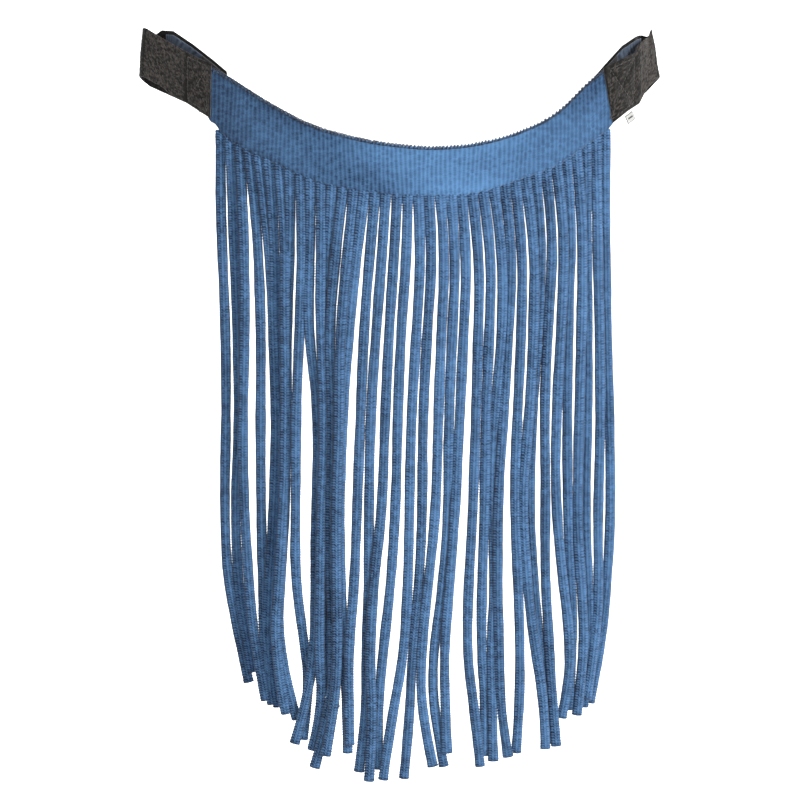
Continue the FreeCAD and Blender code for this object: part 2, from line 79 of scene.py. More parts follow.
# One list for each cord, from the left: (sideways, behind its root, height) of each point.
CORD_ROUTES = [
    [(-0.144, 0, -0.0563), (-0.1445, 0.0005, -0.092), (-0.1432, -0.0005, -0.138), (-0.1405, 0, -0.2),
     (-0.14, 0.001, -0.266), (-0.1414, 0.0005, -0.328), (-0.1398, -0.0005, -0.38),
     (-0.1325, 0, -0.424), (-0.123, 0.0005, -0.4655)],
    [(-0.137, 0, -0.062), (-0.1355, 0.001, -0.1), (-0.1338, 0.002, -0.148), (-0.1312, 0.0025, -0.21),
     (-0.1305, 0.003, -0.276), (-0.1335, 0.003, -0.336), (-0.1312, 0.0035, -0.388),
     (-0.1262, 0.004, -0.426), (-0.1205, 0.004, -0.458)],
    [(-0.1295, 0, -0.067), (-0.128, -0.001, -0.104), (-0.126, -0.0005, -0.152),
     (-0.1262, -0.001, -0.214), (-0.1278, -0.0015, -0.282), (-0.126, -0.0015, -0.342),
     (-0.1228, -0.002, -0.394), (-0.1182, -0.0025, -0.438), (-0.11, -0.002, -0.479)],
    [(-0.1225, 0, -0.0705), (-0.1185, 0.0005, -0.106), (-0.1155, 0, -0.15), (-0.1138, 0.0005, -0.208),
     (-0.1143, 0.0005, -0.274), (-0.1138, 0.001, -0.338), (-0.1125, 0.001, -0.394),
     (-0.1118, 0.001, -0.44), (-0.1055, 0.0005, -0.482)],
    [(-0.115, 0, -0.0735), (-0.111, 0.0005, -0.108), (-0.1068, 0.001, -0.15), (-0.1043, 0.001, -0.212),
     (-0.1025, 0.001, -0.28), (-0.105, 0.0015, -0.344), (-0.1085, 0.003, -0.398),
     (-0.1098, 0.0045, -0.438), (-0.107, 0.004, -0.471)],
    [(-0.1075, 0, -0.0775), (-0.104, 0.002, -0.124), (-0.1032, 0.0045, -0.182), (-0.101, 0.0045, -0.25),
     (-0.1032, 0.005, -0.318), (-0.1048, 0.006, -0.378), (-0.1078, 0.008, -0.434),
     (-0.101, 0.0075, -0.484)],
    [(-0.0995, 0, -0.081), (-0.0958, -0.0005, -0.126), (-0.096, -0.001, -0.186),
     (-0.0955, -0.001, -0.254), (-0.0963, -0.001, -0.322), (-0.1, -0.0015, -0.382),
     (-0.1045, -0.002, -0.438), (-0.095, -0.0015, -0.489)],
    [(-0.092, 0, -0.085), (-0.0915, 0.0015, -0.13), (-0.0943, 0.0025, -0.19), (-0.0945, 0.0025, -0.258),
     (-0.0952, 0.0025, -0.326), (-0.099, 0.002, -0.386), (-0.1016, 0.0015, -0.442),
     (-0.0868, 0.0015, -0.493)],
    [(-0.084, 0, -0.0885), (-0.083, -0.001, -0.132), (-0.0845, -0.0005, -0.192), (-0.0875, 0.0005, -0.26),
     (-0.0878, 0.0015, -0.328), (-0.0885, 0.003, -0.384), (-0.0818, 0.0045, -0.434),
     (-0.077, 0.005, -0.468), (-0.0825, 0.0025, -0.508)],
    [(-0.0765, 0, -0.0905), (-0.0767, 0.0005, -0.136), (-0.079, 0.0005, -0.198), (-0.0705, 0.002, -0.264),
     (-0.0725, 0.0028, -0.33), (-0.0733, 0.0028, -0.388), (-0.0735, 0.0022, -0.44),
     (-0.08, 0.0008, -0.48), (-0.0888, 0.0005, -0.511)],
    [(-0.0685, 0, -0.093), (-0.069, -0.0005, -0.14), (-0.0693, -0.001, -0.2), (-0.0662, -0.001, -0.266),
     (-0.0683, -0.001, -0.334), (-0.0692, -0.0012, -0.392), (-0.0702, -0.0012, -0.442),
     (-0.0675, 0.001, -0.482), (-0.0755, 0.003, -0.516)],
    [(-0.0605, 0, -0.095), (-0.0635, 0.002, -0.14), (-0.0658, 0.0042, -0.198), (-0.0622, 0.0045, -0.262),
     (-0.064, 0.0045, -0.326), (-0.0645, 0.0048, -0.386), (-0.0675, 0.0052, -0.434),
     (-0.065, 0.0046, -0.463), (-0.0582, 0.0042, -0.4848)],
    [(-0.0525, 0, -0.097), (-0.0578, 0.0005, -0.142), (-0.0628, 0.001, -0.202), (-0.0598, 0.001, -0.268),
     (-0.062, 0.001, -0.334), (-0.0618, 0.001, -0.392), (-0.059, 0.001, -0.442),
     (-0.0618, 0.0008, -0.486), (-0.0738, 0.0005, -0.529)],
    [(-0.0445, 0, -0.0985), (-0.0495, -0.001, -0.146), (-0.0548, -0.0022, -0.206),
     (-0.0555, -0.0026, -0.272), (-0.0577, -0.0026, -0.338), (-0.057, -0.0026, -0.396),
     (-0.0563, -0.0026, -0.444), (-0.0585, -0.0028, -0.484), (-0.0655, -0.003, -0.52)],
    [(-0.0365, 0, -0.0995), (-0.042, 0, -0.144), (-0.048, 0.0008, -0.202), (-0.0528, 0.001, -0.268),
     (-0.055, 0.001, -0.334), (-0.0542, 0.001, -0.392), (-0.0512, 0.001, -0.44),
     (-0.0495, 0.001, -0.482), (-0.0488, 0.001, -0.518)],
    [(-0.0285, 0, -0.1005), (-0.0322, 0.0005, -0.142), (-0.0366, 0.0005, -0.198), (-0.0393, 0, -0.264),
     (-0.0417, -0.0005, -0.33), (-0.0438, -0.0012, -0.39), (-0.048, -0.0025, -0.44),
     (-0.048, -0.0026, -0.48), (-0.0475, -0.0026, -0.512)],
    [(-0.0205, 0, -0.1015), (-0.023, -0.0005, -0.142), (-0.0273, -0.0005, -0.198), (-0.0318, 0, -0.264),
     (-0.033, 0.0005, -0.33), (-0.0332, 0.0012, -0.39), (-0.035, 0.0026, -0.442),
     (-0.0352, 0.003, -0.49), (-0.0405, 0.0028, -0.532)],
    [(-0.012, 0, -0.1025), (-0.0142, 0.0005, -0.146), (-0.018, 0, -0.202), (-0.021, -0.0005, -0.268),
     (-0.023, -0.0008, -0.334), (-0.0295, -0.001, -0.392), (-0.0325, -0.001, -0.446),
     (-0.03, -0.001, -0.496), (-0.033, -0.001, -0.539)],
    [(-0.004, 0, -0.103), (-0.0045, 0.001, -0.142), (-0.0088, 0.001, -0.198), (-0.0115, 0.0012, -0.264),
     (-0.0128, 0.0012, -0.33), (-0.0165, 0.002, -0.39), (-0.0225, 0.0026, -0.442),
     (-0.0265, 0.0028, -0.488), (-0.0262, 0.0028, -0.53)],
    [(0.004, 0, -0.103), (0.006, -0.0005, -0.142), (0.0027, -0.0005, -0.2), (-0.0015, 0, -0.268),
     (-0.0027, 0, -0.334), (-0.0038, 0, -0.392), (-0.0072, -0.0005, -0.446), (-0.0165, -0.001, -0.494),
     (-0.0225, -0.001, -0.538)],
    [(0.012, 0, -0.1035), (0.0147, 0.0005, -0.144), (0.0105, 0, -0.204), (0.0071, 0.0005, -0.272),
     (0.007, 0.0005, -0.338), (0.0042, 0.0008, -0.396), (-0.001, 0.001, -0.448),
     (-0.0027, 0.001, -0.494), (-0.007, 0.0005, -0.537)],
    [(0.0205, 0, -0.103), (0.0242, -0.0005, -0.144), (0.021, -0.0005, -0.204), (0.0187, -0.0005, -0.272),
     (0.017, -0.0008, -0.338), (0.011, -0.001, -0.394), (0.0058, -0.001, -0.444),
     (0.0062, -0.001, -0.488), (0.015, -0.0005, -0.528)],
    [(0.0285, 0, -0.1025), (0.0322, 0.001, -0.144), (0.0292, 0.001, -0.204), (0.0266, 0.001, -0.272),
     (0.0264, 0.0012, -0.336), (0.0225, 0.0015, -0.392), (0.0148, 0.002, -0.442), (0.015, 0.002, -0.486),
     (0.0232, 0.0015, -0.528)],
    [(0.0365, 0, -0.102), (0.0405, 0, -0.146), (0.0377, -0.0005, -0.206), (0.0347, -0.0008, -0.272),
     (0.0315, -0.001, -0.336), (0.0275, -0.001, -0.39), (0.0232, -0.0012, -0.44),
     (0.024, -0.0015, -0.482), (0.0255, -0.0015, -0.518)],
    [(0.0445, 0, -0.1015), (0.05, -0.0005, -0.146), (0.0486, 0, -0.208), (0.0467, -0.0005, -0.274),
     (0.0447, 0, -0.338), (0.0413, -0.0005, -0.394), (0.0402, -0.0005, -0.444),
     (0.0462, -0.0005, -0.488), (0.0502, 0, -0.528)],
    [(0.0525, 0, -0.099), (0.0588, 0.0012, -0.142), (0.0572, 0.002, -0.202), (0.0541, 0.0022, -0.268),
     (0.0535, 0.002, -0.332), (0.0516, 0.0022, -0.39), (0.0508, 0.0022, -0.44), (0.0543, 0.0025, -0.484),
     (0.0532, 0.0028, -0.52)],
    [(0.0605, 0, -0.0965), (0.0668, 0.0005, -0.14), (0.067, 0, -0.198), (0.0613, 0.0008, -0.262),
     (0.0587, 0.001, -0.326), (0.0612, 0.001, -0.386), (0.0583, 0.0008, -0.438), (0.0593, 0, -0.484),
     (0.06, -0.0005, -0.524)],
    [(0.0685, 0, -0.0945), (0.0744, -0.0005, -0.138), (0.0719, -0.001, -0.196), (0.068, -0.0015, -0.26),
     (0.0636, -0.0025, -0.326), (0.0632, -0.0028, -0.386), (0.0644, -0.0025, -0.438),
     (0.0652, -0.002, -0.484), (0.0712, -0.0015, -0.521)],
    [(0.0765, 0, -0.092), (0.082, 0.0005, -0.136), (0.0813, 0, -0.196), (0.0782, 0.0005, -0.262),
     (0.0755, 0.0003, -0.328), (0.0785, 0.0005, -0.388), (0.08, 0.0005, -0.438),
     (0.0798, 0.0003, -0.48), (0.077, 0.0005, -0.518)],
    [(0.084, 0, -0.089), (0.0909, -0.0005, -0.132), (0.0904, -0.0008, -0.192), (0.0876, -0.001, -0.258),
     (0.0812, -0.001, -0.324), (0.0845, -0.001, -0.384), (0.0905, -0.001, -0.436),
     (0.098, -0.001, -0.478), (0.099, -0.0008, -0.515)],
    [(0.092, 0, -0.086), (0.0962, 0.0012, -0.13), (0.0946, 0.0022, -0.19), (0.0898, 0.0025, -0.256),
     (0.0868, 0.0025, -0.322), (0.0897, 0.0025, -0.384), (0.0945, 0.0025, -0.436),
     (0.1008, 0.0025, -0.476), (0.1042, 0.0025, -0.511)],
    [(0.0995, 0, -0.083), (0.1053, 0, -0.128), (0.1018, -0.0005, -0.188), (0.0982, -0.0005, -0.254),
     (0.0992, -0.0005, -0.32), (0.0986, -0.0008, -0.382), (0.1017, -0.001, -0.434),
     (0.1042, -0.0012, -0.476), (0.1072, -0.0012, -0.513)],
    [(0.1075, 0, -0.08), (0.1135, -0.0008, -0.126), (0.1116, -0.0005, -0.186), (0.1078, -0.0008, -0.252),
     (0.1062, -0.0005, -0.318), (0.1106, -0.001, -0.378), (0.117, -0.001, -0.428),
     (0.117, -0.001, -0.464), (0.111, -0.001, -0.492)],
    [(0.115, 0, -0.0755), (0.119, 0.0012, -0.122), (0.1166, 0.0022, -0.182), (0.1155, 0.0025, -0.248),
     (0.1155, 0.0025, -0.314), (0.117, 0.0025, -0.374), (0.1205, 0.0025, -0.428),
     (0.1165, 0.0025, -0.486)],
    [(0.1225, 0, -0.0702), (0.1265, -0.0005, -0.112), (0.1268, -0.0008, -0.166), (0.1253, -0.001, -0.228),
     (0.1238, -0.001, -0.292), (0.1228, -0.0012, -0.352), (0.127, -0.001, -0.404),
     (0.128, -0.001, -0.446), (0.1225, -0.001, -0.49)],
    [(0.1295, 0, -0.065), (0.1302, 0.0018, -0.106), (0.1303, 0.0025, -0.16), (0.1312, 0.0025, -0.224),
     (0.1302, 0.0025, -0.29), (0.129, 0.0025, -0.35), (0.1325, 0.0025, -0.404), (0.1318, 0.0028, -0.446),
     (0.1275, 0.0045, -0.484)],
    [(0.137, 0, -0.0603), (0.1376, -0.0005, -0.102), (0.1387, 0, -0.156), (0.1402, -0.0005, -0.218),
     (0.1402, -0.0005, -0.284), (0.1384, -0.0005, -0.344), (0.1393, -0.0008, -0.398),
     (0.1356, -0.001, -0.442), (0.13, -0.001, -0.478)],
    [(0.144, 0, -0.0557), (0.144, 0.0005, -0.098), (0.1444, 0.001, -0.152), (0.1456, 0.001, -0.214),
     (0.1477, 0.001, -0.28), (0.1482, 0.001, -0.342), (0.1452, 0.0012, -0.396), (0.1405, 0.0022, -0.44),
     (0.1325, 0.0028, -0.481)],
]


# ---------------------------------------------------------------- plan path of the band and its ends
def plan_segments(side):
    """Pieces of the plan path from the middle outwards: (length, turn per metre)."""
    pieces = [(FOREHEAD_RADIUS * math.asin(BAND_HALF_WIDTH / FOREHEAD_RADIUS), 1 / FOREHEAD_RADIUS)]
    if side < 0:
        pieces.append((LEFT_TAIL, 0.0))
    else:
        pieces.append((RIGHT_BEND_RADIUS * RIGHT_BEND_TURN, 1 / RIGHT_BEND_RADIUS))
        pieces.append((RIGHT_TAIL, 0.0))
    return pieces


def path_length(side):
    return sum(length for length, _ in plan_segments(side))


def plan_point(side, reach, offset):
    """Plan place and heading at a reach along one side, offset outwards from the band's back face."""
    along, back, heading = 0.0, BAND_FRONT_Y, 0.0
    for length, turn in plan_segments(side):
        step = min(reach, length)
        if turn:
            along += (math.sin(heading + step * turn) - math.sin(heading)) / turn
            back += (math.cos(heading) - math.cos(heading + step * turn)) / turn
            heading += step * turn
        else:
            along += step * math.cos(heading)
            back += step * math.sin(heading)
        reach -= step
        if reach <= 1e-9:
            break
    return side * (along + offset * math.sin(heading)), back - offset * math.cos(heading), heading


def station(reach, offset):
    """The plan place at a signed reach: negative on the left."""
    side = -1 if reach < 0 else 1
    x, y, _ = plan_point(side, abs(reach), offset)
    return x, y


def reach_at(side, across, offset=0.0):
    """How far along a side's path a sideways distance lies."""
    low, high = 0.0, path_length(side)
    for _ in range(40):
        middle = (low + high) / 2
        if abs(plan_point(side, middle, offset)[0]) < across:
            low = middle
        else:
            high = middle
    return low


def smooth_line(points):
    """A function through the points with rounded corners (cubic, with slopes from the neighbours)."""
    xs, zs = (np.array(axis) for axis in zip(*points))
    slopes = np.gradient(zs, xs)

    def height(x):
        x = np.clip(x, xs[0], xs[-1])
        i = np.clip(np.searchsorted(xs, x) - 1, 0, len(xs) - 2)
        run = xs[i + 1] - xs[i]
        t = (x - xs[i]) / run
        rise = zs[i] * (2 * t**3 - 3 * t**2 + 1) + zs[i + 1] * (3 * t**2 - 2 * t**3)
        return rise + run * (slopes[i] * (t**3 - 2 * t**2 + t) + slopes[i + 1] * (t**3 - t**2))

    return height


def ripple(seed, s, longest, octaves=4):
    """A smooth random wave along s, between about -1 and 1."""
    chance = random.Random(seed)
    total = np.zeros_like(np.asarray(s, dtype=float))
    size, reach, sum_sizes = 1.0, longest, 0.0
    for _ in range(octaves):
        total += size * np.sin(2 * math.pi * (s / reach + chance.random()))
        sum_sizes += size
        size *= 0.6
        reach *= 0.53
    return total / sum_sizes


# ---------------------------------------------------------------- materials
def fabric(name, dark, light, ramp=(0.25, 0.8), fibre=1400.0, rough=0.9, sheen=0.3, bump=0.25,
           mottle=60.0, mottle_amount=0.25):
    """Cloth whose colour runs from dark to light with the mesh's tone, broken up by fibres."""
    material = bpy.data.materials.new(name)
    material.use_nodes = True
    nodes, links = material.node_tree.nodes, material.node_tree.links
    shader = nodes["Principled BSDF"]
    shader.inputs["Specular IOR Level"].default_value = 0.25
    shader.inputs["Sheen Weight"].default_value = sheen
    shader.inputs["Sheen Roughness"].default_value = 0.45

    place = nodes.new("ShaderNodeTexCoord")
    tone = nodes.new("ShaderNodeAttribute")
    tone.attribute_name = "tone"
    fine = nodes.new("ShaderNodeTexNoise")
    fine.inputs["Scale"].default_value = fibre
    fine.inputs["Detail"].default_value = 4.0
    fine.inputs["Roughness"].default_value = 0.7
    broad = nodes.new("ShaderNodeTexNoise")
    broad.inputs["Scale"].default_value = mottle
    broad.inputs["Detail"].default_value = 3.0
    links.new(place.outputs["Object"], fine.inputs["Vector"])
    links.new(place.outputs["Object"], broad.inputs["Vector"])

    def mixed(first, second, share):
        """first + (second - 0.5) * share"""
        node = nodes.new("ShaderNodeMath")
        node.operation = "MULTIPLY_ADD"
        shift = nodes.new("ShaderNodeMath")
        shift.operation = "SUBTRACT"
        shift.inputs[1].default_value = 0.5
        links.new(second, shift.inputs[0])
        links.new(shift.outputs[0], node.inputs[0])
        node.inputs[1].default_value = share
        links.new(first, node.inputs[2])
        return node.outputs[0]

    level = mixed(tone.outputs["Fac"], fine.outputs["Fac"], 0.45)
    level = mixed(level, broad.outputs["Fac"], mottle_amount)
    colours = nodes.new("ShaderNodeValToRGB")
    colours.color_ramp.elements[0].position = ramp[0]
    colours.color_ramp.elements[0].color = (*dark, 1)
    colours.color_ramp.elements[1].position = ramp[1]
    colours.color_ramp.elements[1].color = (*light, 1)
    links.new(level, colours.inputs["Fac"])
    links.new(colours.outputs["Color"], shader.inputs["Base Color"])

    roughness = nodes.new("ShaderNodeMapRange")
    roughness.inputs["To Min"].default_value = rough - 0.08
    roughness.inputs["To Max"].default_value = min(1.0, rough + 0.08)
    links.new(fine.outputs["Fac"], roughness.inputs["Value"])
    links.new(roughness.outputs["Result"], shader.inputs["Roughness"])

    relief = nodes.new("ShaderNodeBump")
    relief.inputs["Strength"].default_value = bump
    relief.inputs["Distance"].default_value = 0.0004
    links.new(fine.outputs["Fac"], relief.inputs["Height"])
    links.new(relief.outputs["Normal"], shader.inputs["Normal"])
    return material


CORD_KNIT = fabric("cord_knit", (0.0018, 0.009, 0.030), (0.118, 0.268, 0.520), ramp=(0.10, 0.92),
                   fibre=1300.0, mottle_amount=0.10)
BAND_KNIT = fabric("band_knit", (0.004, 0.018, 0.052), (0.085, 0.205, 0.400), ramp=(0.10, 0.95), fibre=1500.0,
                   mottle_amount=0.15)
BACKING_WEAVE = fabric("backing_weave", (0.010, 0.030, 0.070), (0.060, 0.130, 0.250))
OVERLOCK = fabric("overlock_thread", (0.006, 0.012, 0.030), (0.045, 0.080, 0.130), fibre=2600.0)
STRAP_PILE = fabric("strap_pile", (0.003, 0.0025, 0.002), (0.110, 0.096, 0.088), ramp=(0.15, 1.0),
                    fibre=900.0, rough=0.92, sheen=0.2, bump=0.9, mottle=160.0, mottle_amount=0.35)
PATCH_PILE = fabric("patch_pile", (0.006, 0.006, 0.007), (0.050, 0.050, 0.055), fibre=1600.0, bump=0.9)
# Painted sheen: the hooks are black nylon, coloured blue-grey here for the cool sheen they show under the
# lamps.
HOOK_TAPE = fabric("hook_tape", (0.012, 0.018, 0.032), (0.090, 0.125, 0.180), fibre=1500.0, rough=0.7,
                   bump=0.4)
THREAD = fabric("black_thread", (0.006, 0.006, 0.006), (0.060, 0.055, 0.050), fibre=3000.0, rough=0.7)
LABEL_CLOTH = fabric("label_cloth", (0.06, 0.06, 0.06), (0.52, 0.52, 0.50), fibre=2200.0, rough=0.6)


# ---------------------------------------------------------------- meshes
def add_piece(name, points, faces, tones, material):
    """A smooth mesh piece with one tone for each point."""
    mesh = bpy.data.meshes.new(name)
    mesh.from_pydata(np.asarray(points).tolist(), [], faces)
    mesh.shade_smooth()
    tone = mesh.attributes.new("tone", "FLOAT", "POINT")
    tone.data.foreach_set("value", np.asarray(tones, dtype=np.float32))
    mesh.materials.append(material)
    piece = bpy.data.objects.new(name, mesh)
    bpy.context.scene.collection.objects.link(piece)
    return piece


def tube_faces(rings, around, closed_ends=True):
    """Quads between rings of points, with a face over each end."""
    i = np.arange(rings - 1)[:, None] * around
    j = np.arange(around)[None, :]
    k = (j + 1) % around
    quads = np.stack([i + j, i + k, i + around + k, i + around + j], axis=-1).reshape(-1, 4).tolist()
    if closed_ends:
        quads.append(list(range(around))[::-1])
        quads.append(list(range((rings - 1) * around, rings * around)))
    return quads


# ---------------------------------------------------------------- cords
CORD_WIDTH = 0.0081
CORD_THICK = 0.0040
RIB = 0.00190                     # one course of the knit
CORD_AROUND = 26
CORD_TUCK = 0.0055                # how far a cord reaches up into the band above its first point


def cord_line(name, points):
    """The smooth line through a cord's route, read from its own spline."""
    curve = bpy.data.curves.new(name + "_line", "CURVE")
    curve.dimensions = "3D"
    curve.resolution_u = 24
    spline = curve.splines.new("NURBS")
    spline.points.add(len(points) - 1)
    for place, point in zip(spline.points, points):
        place.co = (*point, 1)
    spline.order_u = 3
    spline.use_endpoint_u = True
    holder = bpy.data.objects.new(name + "_line", curve)
    bare = bpy.data.meshes.new_from_object(holder)
    line = np.array([v.co for v in bare.vertices])
    bpy.data.objects.remove(holder)
    bpy.data.meshes.remove(bare)
    bpy.data.curves.remove(curve)
    return line


def cord_piece(number, route):
    name = "fringe_cord_%02d" % number
    body = "cord_%02d" % number
    pivot = next(joint["pos_m"] for joint in frame["joints"] if joint["child"] == body)
    points = [(x, pivot[1] + back, z) for x, back, z in route]
    line = cord_line(name, points)
    steps = np.linalg.norm(np.diff(line, axis=0), axis=1)
    along = np.concatenate([[0], np.cumsum(steps)])
    length = along[-1]

    rings = int((length + CORD_TUCK) / (RIB / 5))
    s = np.linspace(-CORD_TUCK, length, rings)
    centre = np.stack([np.interp(s, along, line[:, a]) for a in range(3)], axis=1)
    centre[:, 2] += np.where(s < 0, -s, 0)
    ahead = np.gradient(centre, axis=0)
    ahead /= np.linalg.norm(ahead, axis=1)[:, None]

    low = s / length
    twist = 0.28 * ripple(number * 7 + 1, s, 0.31) * np.clip(s / 0.05, 0, 1)
    twist += 0.5 * ripple(number * 7 + 2, s, 0.5, 1) * np.clip(low - 0.55, 0, 1)
    outward = np.array([0.0, -1.0, 0.0])
    sideways = np.cross(ahead, outward)
    sideways /= np.linalg.norm(sideways, axis=1)[:, None]
    front = np.cross(sideways, ahead)
    across = sideways * np.cos(twist)[:, None] + front * np.sin(twist)[:, None]
    facing = front * np.cos(twist)[:, None] - sideways * np.sin(twist)[:, None]

    root_width = 0.09 * np.exp(-np.clip(s, 0, None) / 0.010) - 0.08 * np.clip(-s / CORD_TUCK, 0, 1)
    half_width = CORD_WIDTH / 2 * (1 + 0.07 * ripple(number * 7 + 3, s, 0.09) + root_width - 0.07 * low)
    root_thin = 0.42 * np.clip(1 - s / 0.006, 0, 1)
    half_thick = CORD_THICK / 2 * (1 + 0.06 * ripple(number * 7 + 4, s, 0.06) - root_thin)
    end = np.clip((length - s) / 0.0012, 0, 1)
    blunt = 0.35 + 0.65 * np.sqrt(1 - (1 - end) ** 2)
    splay = 1 + 0.10 * np.exp(-(length - s) / 0.004)
    half_width = half_width * blunt * splay
    half_thick = half_thick * blunt

    angle = 2 * math.pi * (np.arange(CORD_AROUND) + 0.5) / CORD_AROUND
    round_x = np.sign(np.cos(angle)) * np.abs(np.cos(angle)) ** 0.85
    round_y = np.sign(np.sin(angle)) * np.abs(np.sin(angle)) ** 0.85
    wale = round_x * 1.5
    local = wale - np.round(wale)
    groove = (0.5 - 0.5 * np.cos(2 * math.pi * local)) * (np.abs(wale) < 1.2)
    slant = 0.5 * np.round(wale) + 0.55 * np.abs(local) * 2
    drift = 0.5 * ripple(number * 7 + 5, s, 0.06)
    beat = 0.5 + 0.5 * np.cos(2 * math.pi * (s[:, None] / RIB + slant[None, :] + drift[:, None]))
    stitch = np.floor(s[:, None] / RIB + slant[None, :] + drift[:, None]) * 12.9898
    stitch = np.sin(stitch + np.round(wale)[None, :] * 78.233 + np.sign(round_y)[None, :] * 3.7 + number)
    chance_of = (stitch * 43758.5453) % 1.0
    relief = -0.00026 * groove[None, :] + 0.00044 * (beat - 0.5) + 0.00012 * (chance_of - 0.5)
    nx = np.sign(round_x) * np.abs(round_x) ** 1.8 / CORD_WIDTH
    ny = np.sign(round_y) * np.abs(round_y) ** 1.8 / CORD_THICK
    size = np.hypot(nx, ny)
    nx, ny = nx / size, ny / size

    out_x = half_width[:, None] * round_x[None, :] + relief * nx[None, :]
    out_y = half_thick[:, None] * round_y[None, :] + relief * ny[None, :]
    shape = centre[:, None, :] + out_x[..., None] * across[:, None, :] + out_y[..., None] * facing[:, None, :]

    chance = random.Random(number)
    own = chance.uniform(-0.05, 0.05)
    # Painted shade: the tone darkens in the grooves between wales and in the dips between ribs, where the
    # relief is low; the per-stitch term is random.
    tones = 0.53 + own - 0.26 * groove[None, :] + 0.42 * (beat - 0.5) + 0.22 * (chance_of - 0.5)
    # Painted shade: both edges of every cord are darkened where the cords meet and shade each other.
    tones = tones + 0.06 * ripple(number * 7 + 6, s, 0.12)[:, None] - 0.42 * np.abs(round_x[None, :]) ** 4
    # Painted shade: each cord's left side, away from the key lamp, is darker than its right.
    tones = tones - 0.12 * round_x[None, :]
    tones = tones * (0.55 + 0.45 * np.clip((length - s) / 0.003, 0, 1))[:, None]

    piece = add_piece(name + "_knit", shape.reshape(-1, 3), tube_faces(rings, CORD_AROUND),
                      tones.reshape(-1), CORD_KNIT)
    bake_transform(piece)
    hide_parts(name)
    return piece


for number, route in enumerate(CORD_ROUTES, start=1):
    cord_piece(number, route)


# ---------------------------------------------------------------- sheets along the plan path
def sheet_rows(height, count, rim):
    """Places from 0 to 1 up a sheet, closer together beside its edges."""
    inner = np.linspace(rim, height - rim, count)
    edge = rim * np.array([0.0, 0.25, 0.6])
    return np.concatenate([edge, inner, height - edge[::-1]]) / height


def wall_piece(name, reaches, top, bottom, inner, outer, rows, material, relief=None, tone=None,
               slant=None):
    """A closed sheet that follows the plan path, with rounded edges and relief on both faces."""
    thick = outer - inner
    middle = (inner + outer) / 2
    points, tones = [], []
    share = sheet_rows(0.040, rows, thick / 2)
    for reach in reaches:
        x0, _ = station(reach, middle)
        high, low = float(top(x0)), float(bottom(x0))
        tall = high - low
        for face in (1, -1):
            order = share if face > 0 else share[::-1]
            for t in order:
                place = reach + (slant(reach, t) if slant else 0.0)
                depth = min(t, 1 - t) * tall / (thick / 2)
                bulge = math.sqrt(max(0.06, 1 - (1 - min(depth, 1)) ** 2))
                raised = relief(place, t, low + t * tall, face) if relief else 0.0
                offset = middle + face * (thick / 2 * bulge + raised * min(depth, 1))
                x, y = station(place, offset)
                points.append((x, y, low + t * tall))
                tones.append(tone(place, t, low + t * tall, face) if tone else 0.6)
    around = 2 * len(share)
    return add_piece(name, points, tube_faces(len(reaches), around), tones, material)


BAND_LEFT, BAND_RIGHT = 0.162, 0.157
EDGE = 0.0026
WALE = 0.0033
top_line, bottom_line = smooth_line(BAND_TOP), smooth_line(BAND_BOTTOM)
band_start, band_end = -reach_at(-1, BAND_LEFT), reach_at(1, BAND_RIGHT)


def wale_phase(reach, t):
    return reach / WALE + 0.25 * math.sin(reach * 31 + 2.1 * t) + 0.12 * math.sin(reach * 173 - 3.0 * t)


def scalloped(x):
    """The lower edge, drawn down a little where each cord leaves the band and up behind the straps."""
    edge = bottom_line(x) - 0.0005 * (1 + math.cos(2 * math.pi * x / 0.0080))
    tuck = 0.0035 * min(1.0, max(0.0, (-x - 0.1515) / 0.004, (x - 0.1480) / 0.004))
    return edge + tuck


BAND_COURSE = 0.0019              # height of one course of the band's knit


def band_waves(reach, t, z):
    """How far each of the band's ridges and courses stands up at one place, from 0 to 1."""
    ridge = 0.5 + 0.5 * math.cos(2 * math.pi * wale_phase(reach, t))
    course = 0.5 + 0.5 * math.cos(2 * math.pi * (z / BAND_COURSE + 0.5 * math.floor(wale_phase(reach, t))))
    return ridge, course


def band_relief(reach, t, z, face):
    ridge, course = band_waves(reach, t, z)
    swell = 0.00035 * math.sin(math.pi * t) ** 0.5
    hem = 0.00035 * math.exp(-((t - 0.10) / 0.05) ** 2)
    return 0.00020 * ridge + 0.00005 * course + swell + hem


def band_tone(reach, t, z, face):
    ridge, course = band_waves(reach, t, z)
    mottle_and_painted_light = 0.06 * math.sin(reach * 57 + 3 * t) + 0.05 * math.sin(reach * 23 - 5 * t)
    wale = math.floor(wale_phase(reach, t))
    stitch = math.sin(wale * 78.233 + math.floor(z / BAND_COURSE) * 12.9898) * 43758.5453
    # Painted light: a pool of light a little right of the middle, with painted shade towards both ends and
    # most on the left, which the key lamp reaches least; the two sines above are random mottle.
    mottle_and_painted_light += 0.24 * math.exp(-((reach - 0.048) / 0.042) ** 2) - 0.11 * min(1.0, abs(reach) / 0.12)
    mottle_and_painted_light -= 0.07 * min(1.0, max(0.0, -reach / 0.10))
    # Painted shade: the tone is lighter on the raised wales and courses and darker in the troughs between
    # them, more strongly in the middle; the stitch term is random.
    rib = 0.17 + 0.12 * math.exp(-(reach / 0.08) ** 2)
    # Painted shade: the band darkens along its lower edge, under the hem step.
    return 0.24 + rib * ridge + 0.12 * course + 0.20 * (stitch % 1.0) + mottle_and_painted_light - 0.15 * math.exp(-t / 0.03)


band = wall_piece("header_band_knit", np.arange(band_start, band_end, 0.00055),
                  lambda x: top_line(x) - 0.001, scalloped, 0.0, KNIT, 40, BAND_KNIT,
                  band_relief, band_tone)
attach(band, "band")
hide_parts("header_band")

backing = wall_piece("backing_tape_weave", np.arange(band_start + 0.001, band_end - 0.001, 0.0009),
                     lambda x: top_line(x) - EDGE, lambda x: bottom_line(x) + 0.002, -BACKING, -0.0002,
                     18, BACKING_WEAVE,
                     lambda r, t, z, face: 0.00010 * math.cos(2 * math.pi * (r / 0.0018 + z / 0.0018)),
                     lambda r, t, z, face: 0.5 + 0.3 * math.cos(2 * math.pi * (r / 0.0018 + z / 0.0018)))
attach(backing, "band")
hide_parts("backing_tape")


